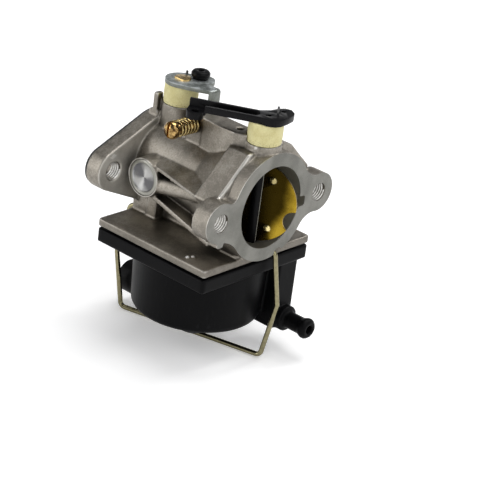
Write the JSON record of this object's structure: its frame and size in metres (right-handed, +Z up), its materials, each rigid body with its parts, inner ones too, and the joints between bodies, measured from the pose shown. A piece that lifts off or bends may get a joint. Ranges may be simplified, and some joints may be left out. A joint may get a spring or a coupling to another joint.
{
  "type": "carburetor",
  "caption": "Single-barrel float-bowl carburetor with cast body, clipped-on plastic bowl, choke and throttle levers, idle screw and side fuel barb.",
  "frame": {"origin": "centre of the bore on the engine side of the mounting gasket, midway between the engine flange's bolt holes", "axes": "+X right as seen from the air side, +Y along the bore towards the engine, +Z up along the shafts"},
  "size_m": [0.0672, 0.0749, 0.0984],
  "materials": {
    "cast_aluminium": "die cast, lightly tumbled, machined flange faces",
    "bright_aluminium": "pressed, smooth",
    "gasket_paper": "fibre sheet, matt",
    "black_rubber": "moulded",
    "red_rubber": "moulded",
    "black_nylon": "moulded, half gloss",
    "yellow_zinc_wire": "drawn wire, yellow passivated",
    "brass": "turned or pressed",
    "gold_brass": "turned, bright",
    "steel": "turned",
    "dark_steel": "wire, oiled",
    "zinc_plate": "stamped sheet, zinc plated",
    "cream_felt": "foam felt, matt"
  },
  "bodies": {
    "base": {"carburetor_body": "cast_aluminium", "welch_plug": "bright_aluminium", "mounting_gasket": "gasket_paper", "bowl_gasket": "black_rubber", "float_bowl": "black_nylon", "throttle_seal": "cream_felt", "choke_seal": "cream_felt", "float_pin": "steel", "inlet_seat": "red_rubber", "main_nozzle": "brass", "main_jet": "brass", "jet_plug": "brass", "jet_plug_ring": "black_rubber", "idle_screw_spring": "gold_brass"},
    "throttle": {"throttle_shaft": "brass", "throttle_plate": "brass", "throttle_plate_screw": "steel", "throttle_lever": "zinc_plate", "throttle_link_bushing": "black_nylon", "throttle_spring_end": "dark_steel"},
    "choke": {"choke_shaft": "black_nylon", "choke_plate": "brass", "choke_lever": "black_nylon", "choke_spring_end": "dark_steel"},
    "idle_screw": {"idle_speed_screw": "gold_brass"},
    "bail": {"bowl_bail": "yellow_zinc_wire"},
    "float": {"float": "black_nylon"},
    "needle": {"inlet_needle": "bright_aluminium"}
  },
  "joints": [
    {"name": "throttle_turn", "type": "hinge", "parent": "base", "child": "throttle", "pos_m": [0, -0.0122, 0], "axis": [0, 0, 1], "range_deg": [0, 72]},
    {"name": "choke_turn", "type": "hinge", "parent": "base", "child": "choke", "pos_m": [0, -0.0534, 0], "axis": [0, 0, 1], "range_deg": [-9, 66]},
    {"name": "idle_screw_turn", "type": "hinge", "parent": "base", "child": "idle_screw", "pos_m": [0, -0.0263, 0.0211], "axis": [1, 0, 0], "range_deg": [-360, 360]},
    {"name": "bail_swing", "type": "hinge", "parent": "base", "child": "bail", "pos_m": [-0.0006, -0.0303, -0.0195], "axis": [-0.2504, 0.9681, 0], "range_deg": [0, 55]},
    {"name": "float_swing", "type": "hinge", "parent": "base", "child": "float", "pos_m": [0, -0.0456, -0.0259], "axis": [1, 0, 0], "range_deg": [0, 6]},
    {"name": "needle_lift", "type": "slide", "parent": "base", "child": "needle", "axis": [0, 0, 1], "range_m": [0, 0.00063]}
  ],
  "couplings": [
    {"joint": "needle_lift", "follows": "float_swing", "m_per_rad": 0.006}
  ]
}
